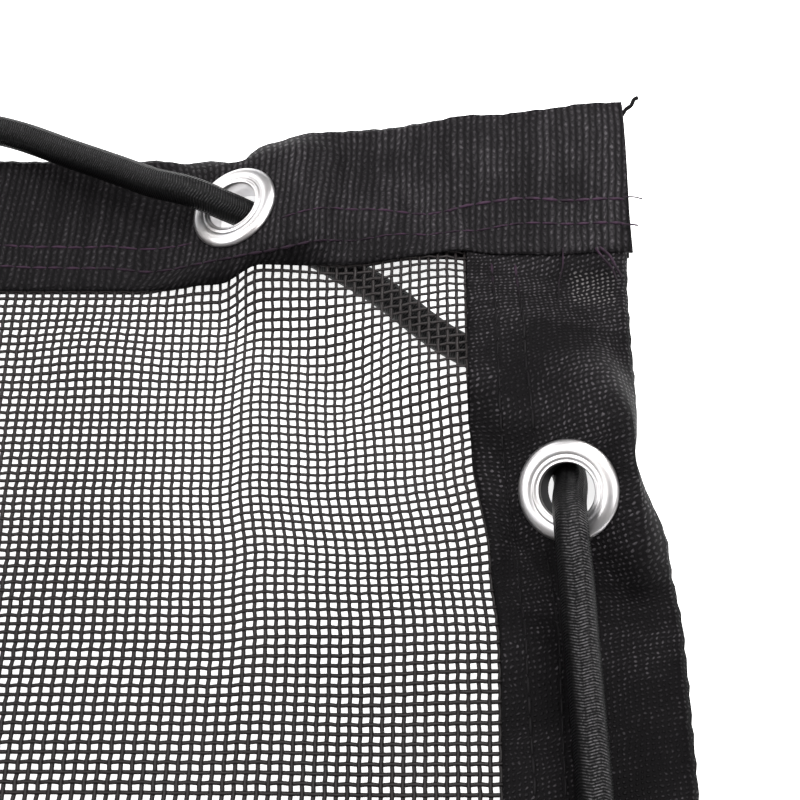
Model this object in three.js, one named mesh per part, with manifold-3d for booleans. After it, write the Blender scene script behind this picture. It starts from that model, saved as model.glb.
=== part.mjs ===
// A safety net of open mesh with a folded woven binding, ten two-part eyelets and an elastic cord
// laced through them in a running stitch. Millimetres. The net lies on a surface: X runs along its
// length, Y across it, Z up. The origin is below the middle of the net, on the surface.

import * as THREE from 'three';
import { mergeVertices } from 'three/addons/utils/BufferGeometryUtils.js';
import Module from 'manifold-3d';

// ---- driving dimensions ----

const netLength = 450;
const netWidth = 300;
const bindingWidth = 30;
const bindingThickness = 0.5;
const meshThickness = 0.8;
const clearance = 0.3;
const meshInset = 6;              // how far the mesh's edge lies inside the binding's fold
const cornerLap = 1.0;            // extra room in the long bindings' ends for the short ones
const lapRamp = 8;                // the long bindings widen to that room over this length
const longOverhang = 1;           // the long bindings stand this far past the short ones

const eyeletInset = 15;           // from the binding's fold to the eyelet's middle
const cornerGap = 75;             // from each corner to the eyelets next to it, along the edge
const boreRadius = 5.1;
const barrelRadius = 5.5;
const flangeRadius = 8.6;
const washerThickness = 0.5;
const turnedSides = 16;
const eyeletLift = 8.6;           // height of an eyelet's middle above the surface
const eyeletLean = 24;            // degrees, away from the stretch of cord behind the net
const flatReach = 9.6;            // the cloth stays flat this far around an eyelet's middle
const blendAlong = 24;            // and has its own shape again this far along the edge
const blendAcross = 16;           // and this far across it

const cordRadius = 2.85;
const cordSides = 8;
const cordRise = 33;              // degrees, slope of the cord where it passes an eyelet
const straightHalf = 3.3;         // half the straight length that passes through the eyelet
const frontBend = 13.5;           // radius of the cord's bend in front of an eyelet
const tableGap = 0.05;            // between the cord behind the net and the surface
const knotRadius = 7;
const knotHeight = 11.4;          // from the eyelet's middle to the knot's, along the cord

const coverRise = 6.4;            // how far the cloth is lifted over the cord behind it
const coverFlat = 6;
const coverReach = 21;
const edgeFall = 0.8;             // share of that lift that the outer edge loses
const nipDepth = 2.6;             // how far the fold of the binding is drawn in beside an eyelet
const nipReach = 15;

// ---- small helpers ----

const halfLength = netLength / 2;
const halfWidth = netWidth / 2;
const innerLength = halfLength - bindingWidth;
const innerWidth = halfWidth - bindingWidth;
const eyeletX = halfLength - eyeletInset;
const eyeletY = halfWidth - eyeletInset;
const cornerX = halfLength - cornerGap;
const cornerY = halfWidth - cornerGap;
const meshHalf = meshThickness / 2;
const hemHalf = meshHalf + clearance + bindingThickness;
const holeRadius = barrelRadius + clearance;
const seat = hemHalf + clearance;  // from the middle of the cloth to a flange
const cordLow = cordRadius + tableGap;
const up = new THREE.Vector3(0, 0, 1);
const radians = THREE.MathUtils.degToRad;

function ramp(value, from, to) {
  const t = THREE.MathUtils.clamp((value - from) / (to - from), 0, 1);
  return t * t * (3 - 2 * t);
}

function point([x, y, z = cordLow]) {
  return new THREE.Vector3(x, y, z);
}

function level(vector) {
  return new THREE.Vector3(vector.x, vector.y, 0).normalize();
}

// ---- the net as it lies ----

// How far each edge lies outside its straight line, at places along it.
const drift = {
  top: [
    { at: -226, out: 0 }, { at: -150, out: -3 }, { at: 0, out: -4 }, { at: 75, out: -5 },
    { at: 150, out: -4.9 }, { at: 157, out: -2.6 }, { at: 172, out: -3.6 }, { at: 196, out: -0.6 },
    { at: 226, out: 1.3 },
  ],
  bottom: [
    { at: -226, out: 1 }, { at: -150, out: -3 }, { at: -75, out: -1 }, { at: 0, out: -3.5 },
    { at: 75, out: 1.5 }, { at: 150, out: -3 }, { at: 226, out: 0.5 },
  ],
  right: [
    { at: -150, out: 0 }, { at: -75, out: -3 }, { at: 0, out: 2.5 }, { at: 48, out: 3 },
    { at: 62, out: 2.1 }, { at: 80, out: -0.3 }, { at: 96, out: -1.1 }, { at: 150, out: -0.7 },
  ],
  left: [
    { at: -150, out: 0 }, { at: -75, out: -3 }, { at: 5, out: 2 }, { at: 75, out: -3 },
    { at: 150, out: 0.5 },
  ],
};

// How high the top edge curls up towards the upper right corner.
const cornerCurl = [
  { at: 150, out: 0 }, { at: 156, out: 4.4 }, { at: 172, out: 7.8 }, { at: 192, out: 7.6 },
  { at: 226, out: 9.4 },
];

// Soft folds: middle, half length along, half length across, turn in degrees, and height.
const folds = [
  { x: 126, y: 20, along: 90, across: 70, turn: 0, rise: 5 },
  { x: 182, y: 49, along: 38, across: 15, turn: -16, rise: 3.4 },
  { x: 127, y: 101, along: 16, across: 10, turn: -20, rise: 1.8 },
  { x: 178, y: 86, along: 26, across: 9, turn: 70, rise: 1.6 },
  { x: 214, y: 116, along: 20, across: 16, turn: 0, rise: 1.3 },
  { x: 40, y: 70, along: 60, across: 26, turn: 24, rise: 5 },
  { x: -60, y: 28, along: 90, across: 34, turn: 12, rise: 7 },
  { x: -150, y: -22, along: 52, across: 30, turn: -35, rise: 6 },
  { x: -20, y: -62, along: 84, across: 30, turn: -14, rise: 6 },
  { x: 112, y: -72, along: 54, across: 24, turn: 32, rise: 5 },
];

// Each eyelet's place on the flat net and how far the cord has drawn it from there. In degrees, aim
// turns the cord's way through it, sway is from that way to the way the eyelet leans, and lean is
// how far it leans where that isn't the usual.
const eyelets = {
  topLeft: { name: 'top_left', x: -cornerX, y: eyeletY, dx: -1, dy: -4, sway: -12 },
  topMiddle: { name: 'top_middle', x: 0, y: eyeletY, dx: 0.5, dy: -5.5, sway: 10 },
  topRight: { name: 'top_right', x: cornerX, y: eyeletY, dx: 1.8, dy: -6.9, aim: 15, sway: 3 },
  rightUpper: { name: 'right_upper', x: eyeletX, y: cornerY, dx: 0.2, dy: -3.4, aim: -17, sway: -30, lean: 34 },
  rightLower: { name: 'right_lower', x: eyeletX, y: -cornerY, dx: -3.5, dy: 2, sway: -14 },
  bottomRight: { name: 'bottom_right', x: cornerX, y: -eyeletY, dx: -1, dy: 4, sway: 10 },
  bottomMiddle: { name: 'bottom_middle', x: 0, y: -eyeletY, dx: -1, dy: 4.5, sway: -10 },
  bottomLeft: { name: 'bottom_left', x: -cornerX, y: -eyeletY, dx: 1, dy: 4, sway: 12 },
  leftLower: { name: 'left_lower', x: -eyeletX, y: -cornerY, dx: 3.5, dy: 1, sway: 8 },
  leftUpper: { name: 'left_upper', x: -eyeletX, y: cornerY, dx: 4, dy: -1, sway: -14 },
};

// The cord's route from knot to knot. Each stretch runs between two eyelets, and its points are
// the middle of the cord. A point without a height lies on the surface, behind the net.
const stretches = [
  { from: 'bottomMiddle', to: 'bottomLeft', front: false, points: [
    [-34, -131], [-58, -133], [-82, -134], [-106, -133.5], [-128, -132]] },
  { from: 'bottomLeft', to: 'leftLower', front: true, points: [
    [-171, -121, 10.2], [-184, -111, 8.2], [-195, -98, 10]] },
  { from: 'leftLower', to: 'leftUpper', front: false, points: [
    [-208, -50], [-210, -26], [-211, 0], [-210, 26], [-208, 50]] },
  { from: 'leftUpper', to: 'topLeft', front: true, points: [
    [-197, 97, 10], [-186, 110, 8.2], [-172, 121, 10.2]] },
  { from: 'topLeft', to: 'topMiddle', front: false, points: [
    [-128, 131], [-104, 131.5], [-76, 132], [-48, 131.5], [-23, 130.5]] },
  { from: 'topMiddle', to: 'topRight', front: true, points: [
    [19, 138.5, 11.4], [34, 144.6, 9.0], [56, 149.6, 7.2], [80, 151.2, 6.8],
    [104.5, 148, 7.3], [119.8, 141.1, 8.7], [130, 135.9, 10.3], [137, 132, 11.7]] },
  { from: 'topRight', to: 'rightUpper', front: false, points: [
    [171, 119.3], [178.1, 114.4], [189.8, 104.1], [196.5, 100], [202, 97], [206, 92.6]] },
  { from: 'rightUpper', to: 'rightLower', front: true, points: [
    [209.8, 57, 12], [210.2, 48.5, 10.2], [210.7, 39, 8.3], [211.2, 22, 7.1], [211.4, -6, 6.9],
    [211, -34, 7.4],
    [208.5, -55, 11.2]] },
  { from: 'rightLower', to: 'bottomRight', front: false, points: [
    [198, -91], [189, -104], [177, -114], [166, -120.5]] },
];

function along(table, place) {
  for (let i = 1; i < table.length; i += 1) {
    if (place <= table[i].at) {
      const share = ramp(place, table[i - 1].at, table[i].at);
      return THREE.MathUtils.lerp(table[i - 1].out, table[i].out, share);
    }
  }
  return table[table.length - 1].out;
}

// Half the thickness that the net has at a place on it, from the mesh alone to the lapped corners.
function halfThickness(u, v) {
  const alongLap = ramp(Math.abs(u), innerLength - lapRamp, innerLength);
  const acrossLap = ramp(Math.abs(v), innerWidth - lapRamp, innerWidth);
  const inside = Math.min(innerLength - Math.abs(u), innerWidth - Math.abs(v));
  const hem = hemHalf + cornerLap * alongLap * acrossLap;
  return THREE.MathUtils.lerp(hem, meshHalf + 0.1, ramp(inside, 0, 24));
}

function distanceToStretch(stretch, x, y) {
  const line = [eyelets[stretch.from].middle, ...stretch.points.map(point), eyelets[stretch.to].middle];
  const place = new THREE.Vector3(x, y, 0);
  const nearest = new THREE.Vector3();
  let least = Infinity;
  for (let i = 1; i < line.length; i += 1) {
    const start = line[i - 1].clone().setZ(0);
    const end = line[i].clone().setZ(0);
    new THREE.Line3(start, end).closestPointToPoint(place, true, nearest);
    least = Math.min(least, nearest.distanceTo(place));
  }
  return least;
}

// The cloth's height above its lowest: what lies behind it, its soft folds and the raised corner.
function lift(x, y, outward) {
  const kept = 1 - edgeFall * ramp(outward, -meshInset, -1);
  let cover = 0;
  for (const stretch of stretches) {
    if (!stretch.front) {
      const distance = distanceToStretch(stretch, x, y);
      cover = Math.max(cover, kept * coverRise * (1 - ramp(distance, coverFlat, coverReach)));
    }
  }
  let soft = 0;
  for (const fold of folds) {
    const turn = radians(fold.turn);
    const a = (x - fold.x) * Math.cos(turn) + (y - fold.y) * Math.sin(turn);
    const b = (y - fold.y) * Math.cos(turn) - (x - fold.x) * Math.sin(turn);
    const spread = (a / fold.along) ** 2 + (b / fold.across) ** 2;
    soft += spread < 1 ? fold.rise * (1 - spread) ** 2 : 0;
  }
  return cover + soft + along(cornerCurl, x) * ramp(y, 112, 150);
}

function isOnLongEdge(eyelet) {
  return Math.abs(eyelet.y) > innerWidth;
}

function nip(beside, outward) {
  return nipDepth * (1 - ramp(Math.abs(beside), 0, nipReach)) * ramp(outward, -12, -2);
}

// The middle of the cloth at a place (u, v) of the flat net.
function surface(u, v) {
  const side = ramp(Math.abs(u), 70, 190);
  const end = ramp(Math.abs(v), 10, 112);
  let x = u + side * Math.sign(u) * along(u > 0 ? drift.right : drift.left, v);
  let y = v + end * Math.sign(v) * along(v > 0 ? drift.top : drift.bottom, u);
  for (const eyelet of Object.values(eyelets)) {
    if (isOnLongEdge(eyelet)) {
      y -= Math.sign(v) * nip(u - eyelet.x, Math.sign(eyelet.y) * v - halfWidth);
    } else {
      x -= Math.sign(u) * nip(v - eyelet.y - 4, Math.sign(eyelet.x) * u - halfLength);
    }
  }
  const lowest = halfThickness(u, v);
  const outward = Math.max(Math.abs(u) - halfLength, Math.abs(v) - halfWidth);
  const place = new THREE.Vector3(x, y, lowest + lift(x, y, outward));
  for (const eyelet of Object.values(eyelets)) {
    const du = u - eyelet.x;
    const dv = v - eyelet.y;
    const reachU = isOnLongEdge(eyelet) ? blendAlong : blendAcross;
    const reachV = isOnLongEdge(eyelet) ? blendAcross : blendAlong;
    const nearU = 1 - ramp(Math.abs(du), flatReach, reachU);
    const nearV = 1 - ramp(Math.abs(dv), flatReach, reachV);
    const near = nearU * nearV;
    if (near > 0) {
      const flat = new THREE.Vector3(du, dv, 0).applyQuaternion(eyelet.tilt).add(eyelet.middle);
      place.lerp(flat, near);
    }
  }
  place.z = Math.max(place.z, lowest);
  return place;
}

// A place on the net, moved off the middle of the cloth by height along the cloth's normal.
function drape(u, v, height) {
  const step = 0.5;
  const alongU = surface(u + step, v).sub(surface(u - step, v));
  const alongV = surface(u, v + step).sub(surface(u, v - step));
  const normal = alongU.cross(alongV).normalize();
  return surface(u, v).addScaledVector(normal, height);
}

function placeEyelets() {
  for (const eyelet of Object.values(eyelets)) {
    eyelet.middle = new THREE.Vector3(eyelet.x + eyelet.dx, eyelet.y + eyelet.dy, eyeletLift);
  }
  for (const stretch of stretches) {
    const side = stretch.front ? 'frontWay' : 'backWay';
    const first = point(stretch.points[0]);
    const last = point(stretch.points[stretch.points.length - 1]);
    eyelets[stretch.from][side] = level(first.sub(eyelets[stretch.from].middle));
    eyelets[stretch.to][side] = level(last.sub(eyelets[stretch.to].middle));
  }
  for (const eyelet of Object.values(eyelets)) {
    const back = eyelet.backWay.clone().negate();
    eyelet.frontWay = eyelet.frontWay ?? back;
    eyelet.way = level(eyelet.frontWay.clone().add(back));
    eyelet.way.applyAxisAngle(up, radians(eyelet.aim ?? 0));
    const leaning = eyelet.way.clone().applyAxisAngle(up, radians(eyelet.sway));
    const hinge = up.clone().cross(leaning).normalize();
    eyelet.normal = up.clone().applyAxisAngle(hinge, radians(eyelet.lean ?? eyeletLean));
    eyelet.tilt = new THREE.Quaternion().setFromUnitVectors(up, eyelet.normal);
    eyelet.slope = eyelet.way.clone().multiplyScalar(Math.cos(radians(cordRise)));
    eyelet.slope.z = Math.sin(radians(cordRise));
  }
}

// ---- cloth pieces ----

// A closed body between two faces of cloth. Each station has as many outer places as inner ones,
// each a [u, v, height], and quads are always split the same way on the flat net.
function layCloth(stations) {
  const rows = stations.map(({ outer, inner }) => [...outer, ...[...inner].reverse()]);
  const flat = rows.flat();
  const count = rows[0].length;
  const index = [];
  function quad(a, b, c, d) {
    const rising = (flat[a][0] - flat[c][0]) * (flat[a][1] - flat[c][1]) > 0;
    index.push(...(rising ? [a, b, c, a, c, d] : [a, b, d, b, c, d]));
  }
  for (let i = 1; i < rows.length; i += 1) {
    for (let j = 0; j < count; j += 1) {
      const next = (j + 1) % count;
      quad((i - 1) * count + j, (i - 1) * count + next, i * count + next, i * count + j);
    }
  }
  const last = (rows.length - 1) * count;
  for (let j = 0; j + 1 < count / 2; j += 1) {
    const across = count - 1 - j;
    quad(j, across, across - 1, j + 1);
    quad(last + j + 1, last + across - 1, last + across, last + j);
  }
  const geometry = new THREE.BufferGeometry();
  const places = flat.flatMap(([u, v, height]) => drape(u, v, height).toArray());
  geometry.setAttribute('position', new THREE.Float32BufferAttribute(places, 3));
  geometry.setIndex(index);
  return faceOut(geometry);
}

function signedVolume(geometry) {
  const position = geometry.getAttribute('position');
  const [a, b, c] = [new THREE.Vector3(), new THREE.Vector3(), new THREE.Vector3()];
  let volume = 0;
  for (let i = 0; i < geometry.index.count; i += 3) {
    a.fromBufferAttribute(position, geometry.index.getX(i));
    b.fromBufferAttribute(position, geometry.index.getX(i + 1));
    c.fromBufferAttribute(position, geometry.index.getX(i + 2));
    volume += a.dot(b.cross(c)) / 6;
  }
  return volume;
}

function faceOut(geometry) {
  if (signedVolume(geometry) < 0) {
    const turned = [];
    for (let i = 0; i < geometry.index.count; i += 3) {
      turned.push(geometry.index.getX(i), geometry.index.getX(i + 2), geometry.index.getX(i + 1));
    }
    geometry.setIndex(turned);
  }
  return geometry;
}

// Stations along each direction: close together beside the eyelets, wider between them.
const besideEyelet = [9, 23];
const lengthMarks = [
  ...besideEyelet, 41, 58, 75, 92, 109, ...besideEyelet.map((gap) => cornerX - gap).reverse(),
  ...besideEyelet.map((gap) => cornerX + gap), 184, innerLength, 201, halfLength - meshInset,
];
const widthMarks = [
  12, 32, ...besideEyelet.map((gap) => cornerY - gap).reverse(),
  ...besideEyelet.map((gap) => cornerY + gap), 109, innerWidth, 126, halfWidth - meshInset,
];

function bothWays(marks) {
  return [...marks.map((mark) => -mark).reverse(), ...marks];
}

function buildMesh() {
  const stations = bothWays(lengthMarks).map((u) => ({
    outer: bothWays(widthMarks).map((v) => [u, v, meshHalf]),
    inner: bothWays(widthMarks).map((v) => [u, v, -meshHalf]),
  }));
  return layCloth(stations);
}

// A strip folded in half round the net's edge. The section is given from the inner edge of its
// back layer, round the fold, to the inner edge of its front layer.
function foldedSection(half, toPlace) {
  const slot = half - bindingThickness;
  const flats = [bindingWidth, 24, meshInset];
  const outerFold = [[1.5, -half], [0, 0], [1.5, half]];
  const innerFold = [[3.4, -slot / 2], [2.6, 0], [3.4, slot / 2]];
  const lower = (height) => flats.map((inset) => [inset, -height]);
  const upper = (height) => [...flats].reverse().map((inset) => [inset, height]);
  return {
    outer: [...lower(half), ...outerFold, ...upper(half)].map(toPlace),
    inner: [...lower(slot), ...innerFold, ...upper(slot)].map(toPlace),
  };
}

function buildLongBinding(side) {
  const marks = bothWays([...lengthMarks, halfLength + longOverhang]);
  return layCloth(marks.map((u) => {
    const half = hemHalf + cornerLap * ramp(Math.abs(u), innerLength - lapRamp, innerLength);
    return foldedSection(half, ([inset, height]) => [u, side * (halfWidth - inset), height]);
  }));
}

function buildShortBinding(side) {
  return layCloth(bothWays(widthMarks).map((v) => (
    foldedSection(hemHalf, ([inset, height]) => [side * (halfLength - inset), v, height])
  )));
}

// ---- eyelets ----

function lathe(profile) {
  const outline = profile.map(([radius, height]) => new THREE.Vector2(radius, height));
  return faceOut(mergePlaces(new THREE.LatheGeometry([...outline, outline[0]], turnedSides)));
}

function buildEyelet() {
  return lathe([
    [boreRadius, -seat - washerThickness], [boreRadius, seat + 0.3], [boreRadius + 0.9, seat + 1.1],
    [boreRadius + 2.2, seat + 1.1], [flangeRadius, seat + 0.25], [flangeRadius, seat],
    [barrelRadius, seat], [barrelRadius, -seat - washerThickness],
  ]);
}

function buildWasher() {
  return lathe([
    [holeRadius, -seat], [flangeRadius, -seat], [flangeRadius, -seat - 0.3],
    [holeRadius, -seat - washerThickness],
  ]);
}

// ---- cord ----

// The cord's middle where it passes an eyelet, from its back stretch to its front one: it leaves
// the surface on a curve, goes straight through the bore and bends over above it.
function passEyelet(eyelet) {
  const rise = radians(cordRise);
  const below = eyelet.middle.clone().addScaledVector(eyelet.slope, -straightHalf);
  const above = eyelet.middle.clone().addScaledVector(eyelet.slope, straightHalf);
  const backRadius = (below.z - cordLow) / (1 - Math.cos(rise));
  const bend = (start, way, radius, part, sign) => {
    const rest = rise * (1 - part);
    const place = start.clone().addScaledVector(way, radius * (Math.sin(rise) - Math.sin(rest)));
    place.z += sign * radius * (Math.cos(rest) - Math.cos(rise));
    return place;
  };
  return [
    bend(below, eyelet.backWay, backRadius, 1, -1),
    bend(below, eyelet.backWay, backRadius, 0.5, -1),
    below,
    above,
    bend(above, eyelet.frontWay, frontBend, 0.5, 1),
    bend(above, eyelet.frontWay, frontBend, 0.9, 1),
  ];
}

// At each end the cord stops below its knot, just above the eyelet's flange.
function endOfCord(eyelet) {
  const [landing, sink, below] = passEyelet(eyelet);
  const reach = knotHeight - knotRadius - clearance;
  const stop = eyelet.middle.clone().addScaledVector(eyelet.slope, reach);
  return [landing, sink, below, stop];
}

function cordPoints() {
  const first = eyelets[stretches[0].from];
  const places = endOfCord(first).reverse();
  for (const stretch of stretches) {
    places.push(...stretch.points.map(point));
    const eyelet = eyelets[stretch.to];
    if (stretch === stretches[stretches.length - 1]) {
      places.push(...endOfCord(eyelet));
    } else {
      const passing = passEyelet(eyelet);
      places.push(...(stretch.front ? passing.reverse() : passing));
    }
  }
  return places;
}

// A curve whose steps fall on the chosen points, so that the short bends at the eyelets keep
// more sections than the long stretches between them.
class ChosenCurve extends THREE.CatmullRomCurve3 {
  getPointAt(share, target) {
    return this.getPoint(share, target);
  }

  getTangentAt(share, target) {
    return this.getTangent(share, target);
  }
}

function buildCord() {
  const places = cordPoints();
  const path = new ChosenCurve(places, false, 'centripetal');
  const section = new THREE.Shape();
  for (let i = 0; i < cordSides; i += 1) {
    const turn = (2 * Math.PI * i) / cordSides;
    const corner = [cordRadius * Math.cos(turn), cordRadius * Math.sin(turn)];
    section[i === 0 ? 'moveTo' : 'lineTo'](...corner);
  }
  section.closePath();
  const settings = { steps: places.length - 1, extrudePath: path, bevelEnabled: false };
  return faceOut(mergePlaces(new THREE.ExtrudeGeometry(section, settings)));
}

function buildKnot() {
  return faceOut(mergePlaces(new THREE.SphereGeometry(knotRadius, 12, 8)));
}

// ---- cutting ----

function mergePlaces(geometry) {
  geometry.deleteAttribute('normal');
  geometry.deleteAttribute('uv');
  return mergeVertices(geometry, 1e-4);
}

const library = await Module();
library.setup();

function toSolid(geometry) {
  return new library.Manifold(new library.Mesh({
    numProp: 3,
    vertProperties: new Float32Array(geometry.getAttribute('position').array),
    triVerts: new Uint32Array(geometry.index.array),
  }));
}

function toGeometry(solid) {
  const { vertProperties, triVerts } = solid.getMesh();
  const geometry = new THREE.BufferGeometry();
  geometry.setAttribute('position', new THREE.Float32BufferAttribute(vertProperties, 3));
  geometry.setIndex([...triVerts]);
  return geometry;
}

// Cuts the eyelets' holes that fall on a piece of cloth.
function punch(geometry, names) {
  let solid = toSolid(geometry);
  for (const name of names) {
    const eyelet = eyelets[name];
    const drill = new THREE.CylinderGeometry(holeRadius, holeRadius, 8, turnedSides);
    const cutter = mergePlaces(drill);
    cutter.rotateX(Math.PI / 2);
    cutter.applyQuaternion(eyelet.tilt);
    cutter.translate(...eyelet.middle.toArray());
    solid = solid.subtract(toSolid(faceOut(cutter)));
  }
  return toGeometry(solid);
}

// ---- assembly ----

function material(color, roughness, metalness) {
  return new THREE.MeshStandardMaterial({ color, roughness, metalness });
}

function named(name, geometry, finish) {
  const piece = new THREE.Mesh(geometry, finish);
  geometry.computeVertexNormals();
  piece.name = name;
  return piece;
}

placeEyelets();

const meshCloth = material(0x232021, 0.6, 0);
const bindingCloth = material(0x222122, 0.75, 0);
const nickel = material(0xe6e7e9, 0.25, 1);
const elastic = material(0x2c2c2e, 0.6, 0);

const topNames = ['topLeft', 'topMiddle', 'topRight'];
const bottomNames = ['bottomLeft', 'bottomMiddle', 'bottomRight'];
const rightNames = ['rightUpper', 'rightLower'];
const leftNames = ['leftUpper', 'leftLower'];

const net = new THREE.Group();
net.add(named('mesh_panel', punch(buildMesh(), Object.keys(eyelets)), meshCloth));
net.add(named('binding_top', punch(buildLongBinding(1), topNames), bindingCloth));
net.add(named('binding_bottom', punch(buildLongBinding(-1), bottomNames), bindingCloth));
net.add(named('binding_right', punch(buildShortBinding(1), rightNames), bindingCloth));
net.add(named('binding_left', punch(buildShortBinding(-1), leftNames), bindingCloth));

const latheAxis = new THREE.Vector3(0, 1, 0);
for (const eyelet of Object.values(eyelets)) {
  const pair = new THREE.Group();
  pair.position.copy(eyelet.middle);
  pair.quaternion.setFromUnitVectors(latheAxis, eyelet.normal);
  pair.add(named(`eyelet_${eyelet.name}`, buildEyelet(), nickel));
  pair.add(named(`washer_${eyelet.name}`, buildWasher(), nickel));
  net.add(pair);
}

net.add(named('cord', buildCord(), elastic));
for (const name of ['bottomMiddle', 'bottomRight']) {
  const eyelet = eyelets[name];
  const knot = named(`knot_${eyelet.name}`, buildKnot(), elastic);
  knot.position.copy(eyelet.middle).addScaledVector(eyelet.slope, knotHeight);
  net.add(knot);
}

export default net;
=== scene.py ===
import math

import bmesh
import bpy
import numpy as np
from mathutils import Matrix, Quaternion, Vector


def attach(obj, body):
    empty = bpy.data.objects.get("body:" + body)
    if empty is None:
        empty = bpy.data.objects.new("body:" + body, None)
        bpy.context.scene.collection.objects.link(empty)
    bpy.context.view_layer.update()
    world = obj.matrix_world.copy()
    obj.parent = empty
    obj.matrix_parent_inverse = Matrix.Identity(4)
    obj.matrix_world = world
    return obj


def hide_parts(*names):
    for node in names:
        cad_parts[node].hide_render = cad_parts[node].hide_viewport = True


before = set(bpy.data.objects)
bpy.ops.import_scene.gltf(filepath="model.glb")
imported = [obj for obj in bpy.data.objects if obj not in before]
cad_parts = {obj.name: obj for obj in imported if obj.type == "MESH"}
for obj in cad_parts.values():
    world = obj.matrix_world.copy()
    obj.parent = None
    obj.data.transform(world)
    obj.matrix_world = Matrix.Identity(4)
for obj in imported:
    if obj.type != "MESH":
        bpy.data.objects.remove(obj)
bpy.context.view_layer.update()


# ---- table, light and camera ----
# The net lies on a white table under soft light from all round. It is seen from above and a
# little in front, with its upper right corner in view.

table_white = (0.9, 0.9, 0.9, 1)
table_half = 3
table_glow = 0.82
sky_strength = 0.24
camera_place = (0.182, -0.0146, 0.2067)
camera_aim = (0.182, 0.093, 0)
camera_lens = 58.5

table_mesh = bpy.data.meshes.new("table")
table_grid = bmesh.new()
bmesh.ops.create_grid(table_grid, x_segments=1, y_segments=1, size=table_half)
table_grid.to_mesh(table_mesh)
table = bpy.data.objects.new("table", table_mesh)
bpy.context.collection.objects.link(table)

table_finish = bpy.data.materials.new("table_white")
table_finish.use_nodes = True
table_shader = table_finish.node_tree.nodes["Principled BSDF"]
table_shader.inputs["Base Color"].default_value = table_white
table_shader.inputs["Roughness"].default_value = 0.9
table_shader.inputs["Emission Color"].default_value = (1, 1, 1, 1)
table_shader.inputs["Emission Strength"].default_value = table_glow
table_mesh.materials.append(table_finish)

sky = bpy.data.worlds.new("studio")
sky.use_nodes = True
sky.node_tree.nodes["Background"].inputs["Color"].default_value = (1, 1, 1, 1)
sky.node_tree.nodes["Background"].inputs["Strength"].default_value = sky_strength
bpy.context.scene.world = sky
bpy.context.scene.view_settings.view_transform = "Standard"


def add_softbox(name, place, aim, size, power):
    """A square area light that points at the net."""
    lamp = bpy.data.lights.new(name, "AREA")
    lamp.size = size
    lamp.energy = power
    softbox = bpy.data.objects.new(name, lamp)
    softbox.location = place
    softbox.rotation_euler = (Vector(aim) - Vector(place)).to_track_quat("-Z", "Y").to_euler()
    bpy.context.collection.objects.link(softbox)


add_softbox("softbox_top", place=(0.15, 0.24, 0.9), aim=(0.17, 0.08, 0), size=0.5, power=5.5)
add_softbox("softbox_left", place=(-0.5, 0, 0.58), aim=(0.17, 0.08, 0), size=0.6, power=4.5)
add_softbox("softbox_far", place=(-0.42, 0.64, 0.37), aim=(0.15, 0.13, 0), size=0.35, power=0.9)
add_softbox("softbox_right", place=(0.47, -0.08, 0.4), aim=(0.2, 0.07, 0), size=0.34, power=1)
add_softbox("softbox_corner", place=(0.26, 0.20, 0.15), aim=(0.2, 0.135, 0.01), size=0.1, power=0.28)

camera = bpy.data.objects.new("camera", bpy.data.cameras.new("camera"))
camera.data.lens = camera_lens
camera.data.sensor_width = 36
camera.data.clip_start = 0.01
camera.location = camera_place
looking = Vector(camera_aim) - camera.location
camera.rotation_euler = looking.to_track_quat("-Z", "Y").to_euler()
bpy.context.collection.objects.link(camera)
bpy.context.scene.camera = camera


# ---- elastic cord ----
# One length of elastic cord, a rubber core in a braided sleeve. It is laced through the eyelets
# in a running stitch, in front of the net and behind it by turns, and knotted at both ends.

cord_radius = 0.00285
cord_step = 0.0012
cord_smoothings = 5
cord_sides = 16
braid_pitch = 0.00046
braid_columns = 5
# The way that the cord's painted highlight faces, and where its painted highlight along the right
# edge rises.
highlight_side = (0.1, -0.35, 0.93)
right_highlight_rise = (0.201, 0.207)
cord_low = 0.0029
cord_rise = math.radians(33)
straight_half = 0.0033
front_bend = 0.0135
stop_height = 0.0041
eyelet_lift = 0.0086
eyelet_lean = 24
up = Vector((0, 0, 1))

# Each eyelet's place on the flat net and how far the cord has drawn it from there. In degrees, aim
# turns the cord's way through it, sway is from that way to the way the eyelet leans, and lean is
# how far it leans where that isn't the usual.
eyelets = {
    "top_left": {"flat": (-0.150, 0.135), "drawn": (-0.001, -0.004), "aim": 0, "sway": -12},
    "top_middle": {"flat": (0, 0.135), "drawn": (0.0005, -0.0055), "aim": 0, "sway": 10},
    "top_right": {"flat": (0.150, 0.135), "drawn": (0.0018, -0.0069), "aim": 15, "sway": 3},
    "right_upper": {"flat": (0.210, 0.075), "drawn": (0.0002, -0.0034), "aim": -17, "sway": -30,
                    "lean": 34},
    "right_lower": {"flat": (0.210, -0.075), "drawn": (-0.0035, 0.002), "aim": 0, "sway": -14},
    "bottom_right": {"flat": (0.150, -0.135), "drawn": (-0.001, 0.004), "aim": 0, "sway": 10},
    "bottom_middle": {"flat": (0, -0.135), "drawn": (-0.001, 0.0045), "aim": 0, "sway": -10},
    "bottom_left": {"flat": (-0.150, -0.135), "drawn": (0.001, 0.004), "aim": 0, "sway": 12},
    "left_lower": {"flat": (-0.210, -0.075), "drawn": (0.0035, 0.001), "aim": 0, "sway": 8},
    "left_upper": {"flat": (-0.210, 0.075), "drawn": (0.004, -0.001), "aim": 0, "sway": -14},
}

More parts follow.
